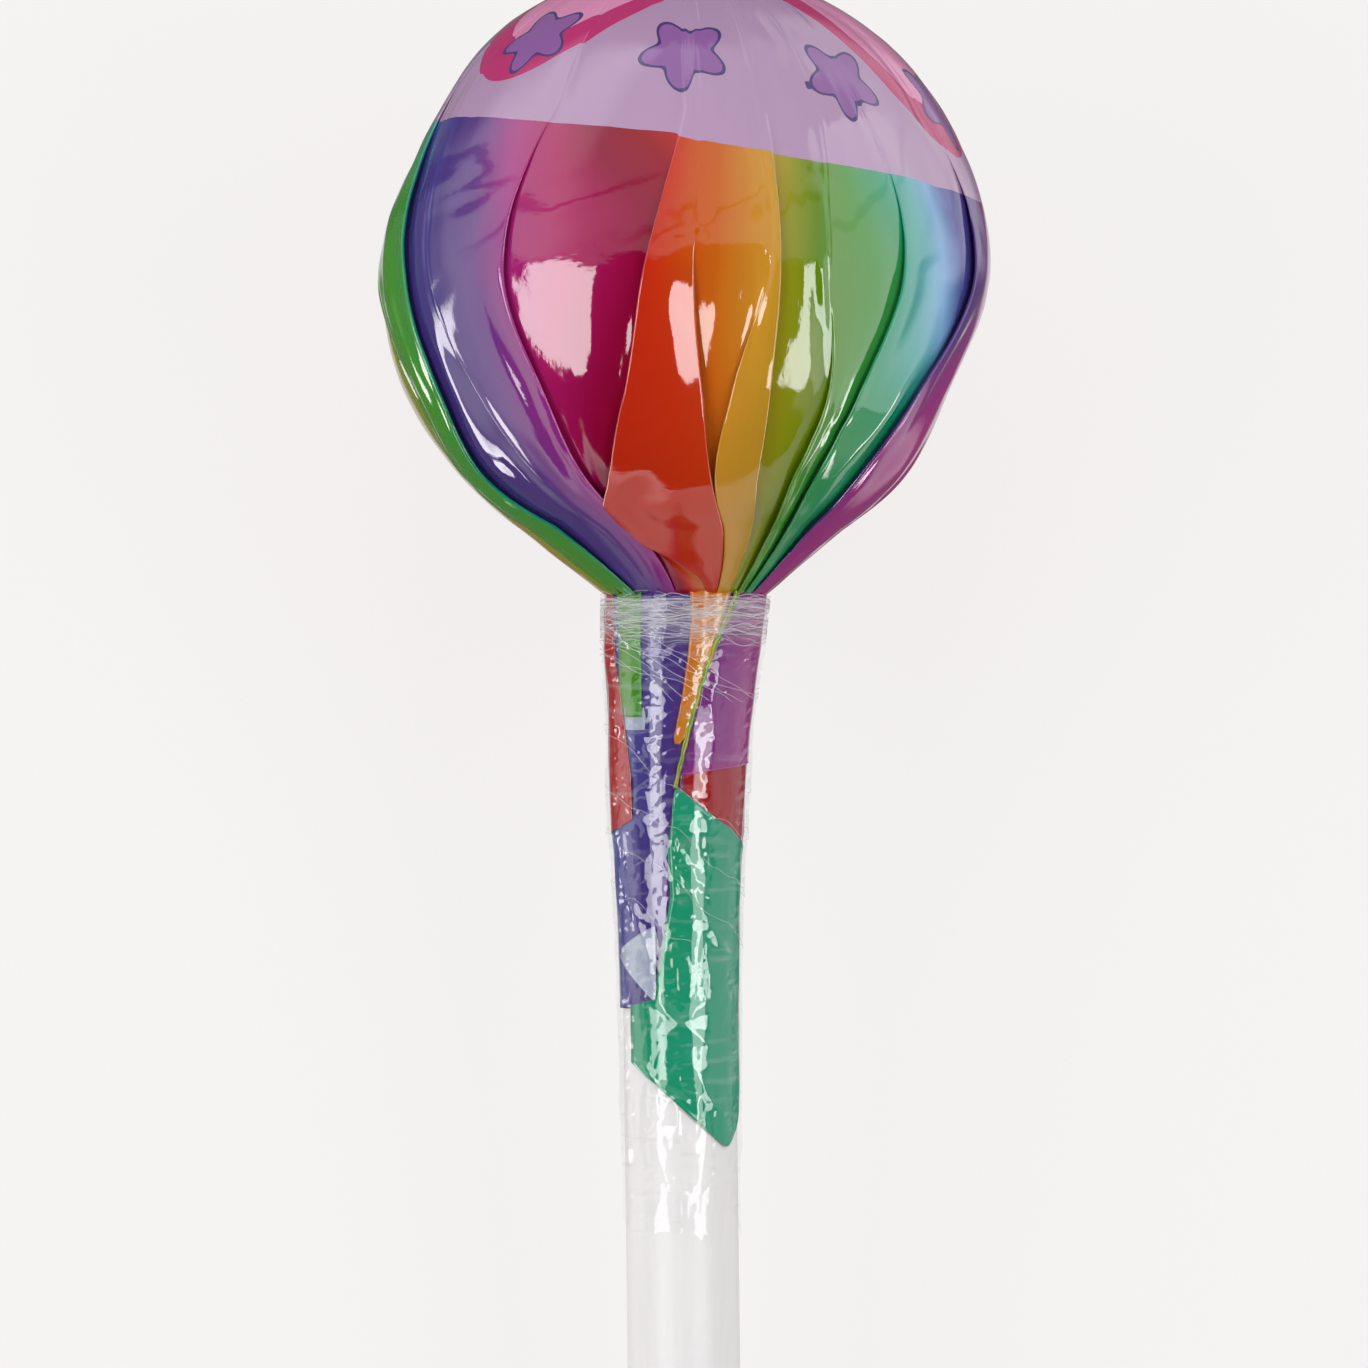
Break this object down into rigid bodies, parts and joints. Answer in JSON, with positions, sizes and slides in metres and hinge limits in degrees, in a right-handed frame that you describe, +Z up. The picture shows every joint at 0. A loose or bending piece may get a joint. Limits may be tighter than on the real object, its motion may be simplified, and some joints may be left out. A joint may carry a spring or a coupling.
{
  "type": "giant ball lollipop in a printed film wrapper",
  "caption": "Large ball lollipop lying on its side: pleated rainbow film drawn over the ball and bound to a thick stick under clear film.",
  "frame": {"origin": "middle of the flat spot that the ball rests on, on the floor below the ball's centre", "axes": "+Z up, +Y from the stick towards the ball's crown, +X to the right of someone who looks down on it with the ball away from them; the stick runs towards -Y and slopes down to the floor"},
  "size_m": [0.1045, 0.3983, 0.1044],
  "materials": {
    "printed_film": "glossy printed wrapping film: a lilac crown above pleats in a full rainbow",
    "stick_plastic": "smooth, slightly milky white extruded plastic",
    "clear_film": "clear stretch film with fine wrinkles"
  },
  "bodies": {
    "root": {"wrapped_ball": "printed_film", "stick": "stick_plastic", "clear_sleeve": "clear_film"}
  },
  "joints": []
}
